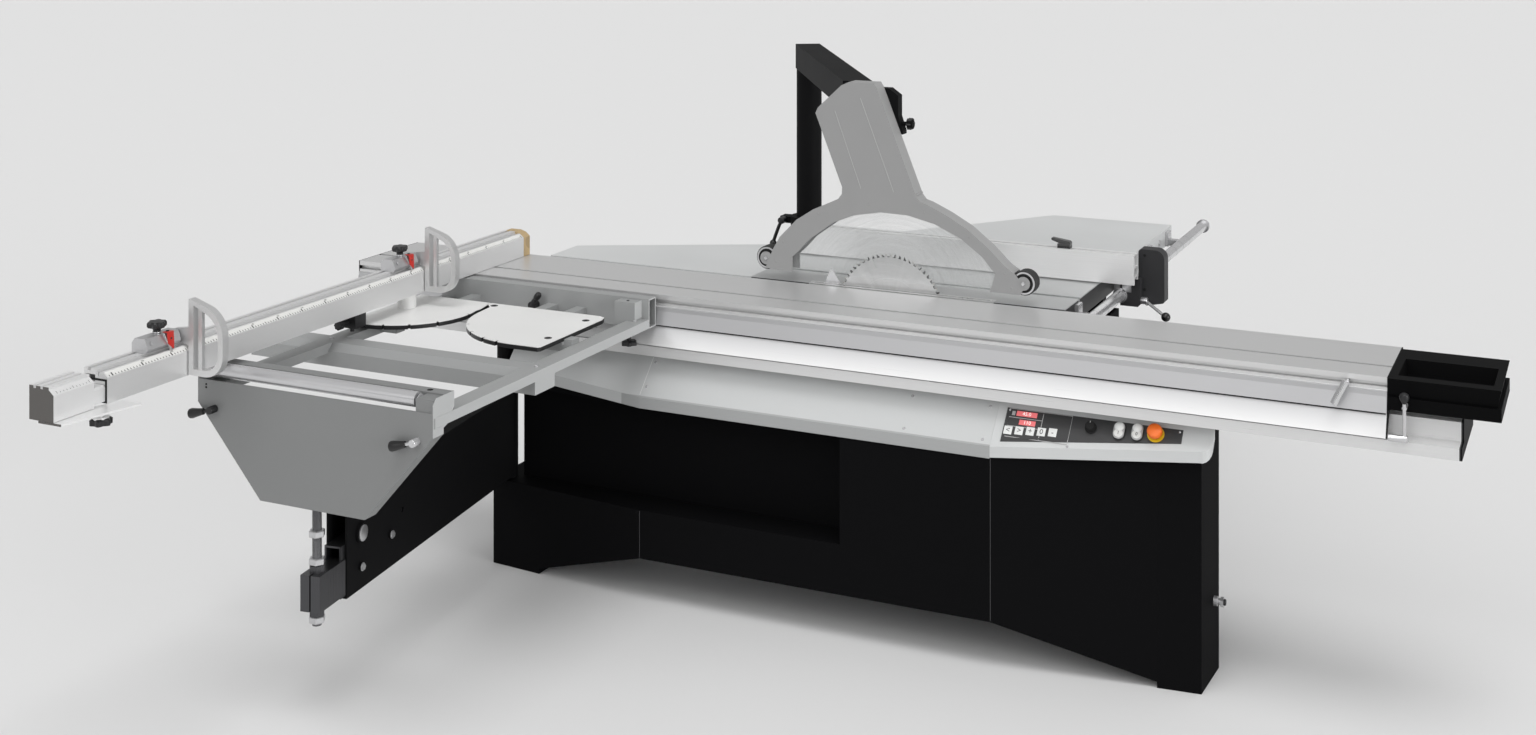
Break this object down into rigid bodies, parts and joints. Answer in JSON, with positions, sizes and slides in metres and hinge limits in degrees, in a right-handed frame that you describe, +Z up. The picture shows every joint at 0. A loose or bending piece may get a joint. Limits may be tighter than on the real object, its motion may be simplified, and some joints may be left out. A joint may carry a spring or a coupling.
{
  "type": "sliding table panel saw",
  "caption": "Panel saw with a long sliding carriage, an outrigger with a crosscut fence on a swing arm, a blade hood on a boom and a rip fence on a round rail.",
  "frame": {"origin": "on the floor, under the middle of the object's box in plan", "axes": "+X along the carriage travel towards the operator's end, +Y across the machine towards the rip side and its longest way, +Z up"},
  "size_m": [3.473, 3.678, 1.528],
  "materials": {
    "alu": "silver anodised extrusion",
    "belt_rubber": "black ribbed rubber",
    "blade_steel": "ground blade steel",
    "button_white": "white moulded plastic",
    "cast_table": "ground cast iron",
    "estop_orange": "orange-red moulded plastic",
    "flag_alu": "cast aluminium",
    "hood_grey": "grey powder coat",
    "knob_black": "black moulded plastic",
    "panel_black": "matt black panel foil",
    "plate_white": "satin anodised plate",
    "powder_black": "fine-textured black powder coat",
    "powder_grey": "satin light grey powder coat",
    "roller_rubber": "black rubber",
    "sheet_table": "grey painted steel sheet",
    "steel": "machined steel",
    "unit_blue": "dark painted castings",
    "window_clear": "clear polycarbonate",
    "wood_block": "light hardwood"
  },
  "bodies": {
    "base": {"base_cabinet": "powder_black", "fascia_band": "powder_grey", "control_housing": "powder_grey", "control_panel": "panel_black", "main_table": "cast_table", "slot_insert": "steel", "left_extension": "sheet_table", "rip_extension": "sheet_table", "fixed_beam": "alu", "beam_supports": "powder_black", "arm_post": "powder_black", "rip_rail": "steel", "post_socket": "powder_black", "dust_duct": "knob_black", "saw_frame": "unit_blue", "cable_gland": "steel"},
    "saw_unit": {"saw_saddle": "unit_blue", "drive_motor": "unit_blue", "drive_belt": "belt_rubber", "riving_knife": "blade_steel"},
    "blade": {"saw_blade": "blade_steel", "arbor": "steel"},
    "motor_rotor": {"motor_pulley": "steel"},
    "scorer": {"scoring_blade": "blade_steel"},
    "guard_boom": {"guard_arm": "powder_black"},
    "guard_clamp": {"guard_lever": "knob_black"},
    "hood": {"hood_shell": "hood_grey", "hood_windows": "window_clear"},
    "hood_wheel_front": {"hood_roller_front": "roller_rubber"},
    "hood_wheel_rear": {"hood_roller_rear": "roller_rubber"},
    "carriage": {"carriage_table": "alu", "carriage_ends": "powder_black", "end_tray": "knob_black", "outrigger_frame": "powder_grey", "end_panel": "powder_grey", "angle_plates": "plate_white"},
    "latch": {"latch_lever": "steel"},
    "lock": {"lock_handle": "steel"},
    "roller": {"outrigger_roller": "alu"},
    "outrigger_clamp": {"outrigger_lever": "knob_black"},
    "pull_left": {"panel_lever_left": "knob_black"},
    "pull_right": {"panel_lever_right": "knob_black"},
    "fence": {"crosscut_fence": "alu", "fence_end_block": "wood_block"},
    "fence_ext": {"fence_extension": "alu"},
    "slider_near": {"stop_slider_near": "steel"},
    "slider_far": {"stop_slider_far": "steel"},
    "flag_near": {"stop_flag_near": "flag_alu"},
    "flag_far": {"stop_flag_far": "flag_alu"},
    "knob_near": {"stop_knob_near": "knob_black"},
    "knob_far": {"stop_knob_far": "knob_black"},
    "arm": {"swing_arm": "powder_black"},
    "arm_bar": {"arm_slider": "steel"},
    "carrier": {"rip_carrier": "powder_black"},
    "rip_bar": {"rip_profile": "alu"},
    "rip_clamp": {"rip_lever": "knob_black"},
    "button_start": {"start_button": "button_white"},
    "button_stop": {"stop_button": "button_white"},
    "button_emergency": {"emergency_stop": "estop_orange"},
    "selector": {"selector_knob": "knob_black"}
  },
  "joints": [
    {"name": "carriage_slide", "type": "slide", "parent": "base", "child": "carriage", "axis": [1, 0, 0], "range_m": [-1.5, 1.6]},
    {"name": "arm_swing", "type": "hinge", "parent": "base", "child": "arm", "pos_m": [-1.1865, -0.081, 0.4], "axis": [0, 0, 1], "range_deg": [-52, 56]},
    {"name": "arm_extension", "type": "slide", "parent": "arm", "child": "arm_bar", "axis": [0.1392, -0.9903, 0], "range_m": [0, 0.75]},
    {"name": "saw_lift", "type": "slide", "parent": "base", "child": "saw_unit", "axis": [0, 0, 1], "range_m": [-0.115, 0.006]},
    {"name": "blade_spin", "type": "hinge", "parent": "saw_unit", "child": "blade", "pos_m": [-0.0165, 0.234, 0.835], "axis": [0, 1, 0], "continuous": true},
    {"name": "motor_spin", "type": "hinge", "parent": "saw_unit", "child": "motor_rotor", "pos_m": [-0.0165, 0.234, 0.585], "axis": [0, 1, 0], "continuous": true},
    {"name": "scoring_spin", "type": "hinge", "parent": "base", "child": "scorer", "pos_m": [0.2285, 0.234, 0.842], "axis": [0, 1, 0], "continuous": true},
    {"name": "guard_swing", "type": "hinge", "parent": "base", "child": "guard_boom", "pos_m": [-0.7495, 1.276, 0.9], "axis": [0, 0, 1], "range_deg": [-35, 0]},
    {"name": "guard_clamp_turn", "type": "hinge", "parent": "base", "child": "guard_clamp", "pos_m": [-0.8415, 1.276, 0.868], "axis": [0, 1, 0], "range_deg": [0, 70]},
    {"name": "hood_lift", "type": "slide", "parent": "guard_boom", "child": "hood", "axis": [0, 0, 1], "range_m": [-0.025, 0.13]},
    {"name": "hood_front_spin", "type": "hinge", "parent": "hood", "child": "hood_wheel_front", "pos_m": [0.4115, 0.234, 0.966], "axis": [0, 1, 0], "continuous": true},
    {"name": "hood_rear_spin", "type": "hinge", "parent": "hood", "child": "hood_wheel_rear", "pos_m": [-0.4205, 0.234, 0.966], "axis": [0, 1, 0], "continuous": true},
    {"name": "outrigger_roller_spin", "type": "hinge", "parent": "carriage", "child": "roller", "pos_m": [-0.9975, -1.24, 0.872], "axis": [1, 0, 0], "continuous": true},
    {"name": "outrigger_clamp_turn", "type": "hinge", "parent": "carriage", "child": "outrigger_clamp", "pos_m": [-1.0205, -0.176, 0.844], "axis": [0, 1, 0], "range_deg": [-90, 0]},
    {"name": "pull_left_turn", "type": "hinge", "parent": "carriage", "child": "pull_left", "pos_m": [-1.3115, -1.266, 0.778], "axis": [0, 1, 0], "range_deg": [0, 80]},
    {"name": "pull_right_turn", "type": "hinge", "parent": "carriage", "child": "pull_right", "pos_m": [-0.6725, -1.266, 0.778], "axis": [0, 1, 0], "range_deg": [0, 80]},
    {"name": "latch_turn", "type": "hinge", "parent": "carriage", "child": "latch", "pos_m": [1.5125, -0.127, 0.838], "axis": [0, 1, 0], "range_deg": [-25, 0]},
    {"name": "lock_turn", "type": "hinge", "parent": "carriage", "child": "lock", "pos_m": [1.3715, -0.126, 0.88], "axis": [0, 1, 0], "range_deg": [0, 90]},
    {"name": "fence_pivot", "type": "hinge", "parent": "carriage", "child": "fence", "pos_m": [-1.3165, -0.431, 0.88], "axis": [0, 0, 1], "range_deg": [0, 45]},
    {"name": "fence_extend", "type": "slide", "parent": "fence", "child": "fence_ext", "axis": [0, -1, 0], "range_m": [-0.038, 0.95]},
    {"name": "stop_near_slide", "type": "slide", "parent": "fence", "child": "slider_near", "axis": [0, 1, 0], "range_m": [-0.1, 0.6]},
    {"name": "stop_far_slide", "type": "slide", "parent": "fence", "child": "slider_far", "axis": [0, 1, 0], "range_m": [-0.6, 0.4]},
    {"name": "stop_near_flip", "type": "hinge", "parent": "slider_near", "child": "flag_near", "pos_m": [-1.3235, -1.396, 0.9995], "axis": [0, -1, 0], "range_deg": [0, 100]},
    {"name": "stop_far_flip", "type": "hinge", "parent": "slider_far", "child": "flag_far", "pos_m": [-1.3235, -0.389, 0.9995], "axis": [0, -1, 0], "range_deg": [0, 100]},
    {"name": "stop_near_knob_turn", "type": "hinge", "parent": "slider_near", "child": "knob_near", "pos_m": [-1.328, -1.458, 1.02], "axis": [0, 0, 1], "range_deg": [-90, 90]},
    {"name": "stop_far_knob_turn", "type": "hinge", "parent": "slider_far", "child": "knob_far", "pos_m": [-1.328, -0.451, 1.02], "axis": [0, 0, 1], "range_deg": [-90, 90]},
    {"name": "rip_slide", "type": "slide", "parent": "base", "child": "carrier", "axis": [0, 1, 0], "range_m": [-0.3, 1]},
    {"name": "rip_profile_slide", "type": "slide", "parent": "carrier", "child": "rip_bar", "axis": [1, 0, 0], "range_m": [-0.03, 0.5]},
    {"name": "rip_clamp_turn", "type": "hinge", "parent": "carrier", "child": "rip_clamp", "pos_m": [0.6515, 0.644, 0.848], "axis": [1, 0, 0], "range_deg": [-50, 0]},
    {"name": "start_push", "type": "slide", "parent": "base", "child": "button_start", "axis": [0, 0.7254, -0.6883], "range_m": [0, 0.004], "stiffness_N_per_m": 1500, "springref_m": -0.001},
    {"name": "stop_push", "type": "slide", "parent": "base", "child": "button_stop", "axis": [0, 0.7254, -0.6883], "range_m": [0, 0.004], "stiffness_N_per_m": 1500, "springref_m": -0.001},
    {"name": "emergency_push", "type": "slide", "parent": "base", "child": "button_emergency", "axis": [0, 0.7254, -0.6883], "range_m": [0, 0.004], "stiffness_N_per_m": 1500, "springref_m": -0.001},
    {"name": "selector_turn", "type": "hinge", "parent": "base", "child": "selector", "pos_m": [0.7035, -0.11981, 0.67139], "axis": [0, -0.7254, 0.6883], "range_deg": [-60, 60]}
  ],
  "couplings": [
    {"joint": "arm_swing", "follows": "carriage_slide", "rad_per_m": 0.6},
    {"joint": "motor_spin", "follows": "blade_spin", "ratio": 0.66667}
  ]
}
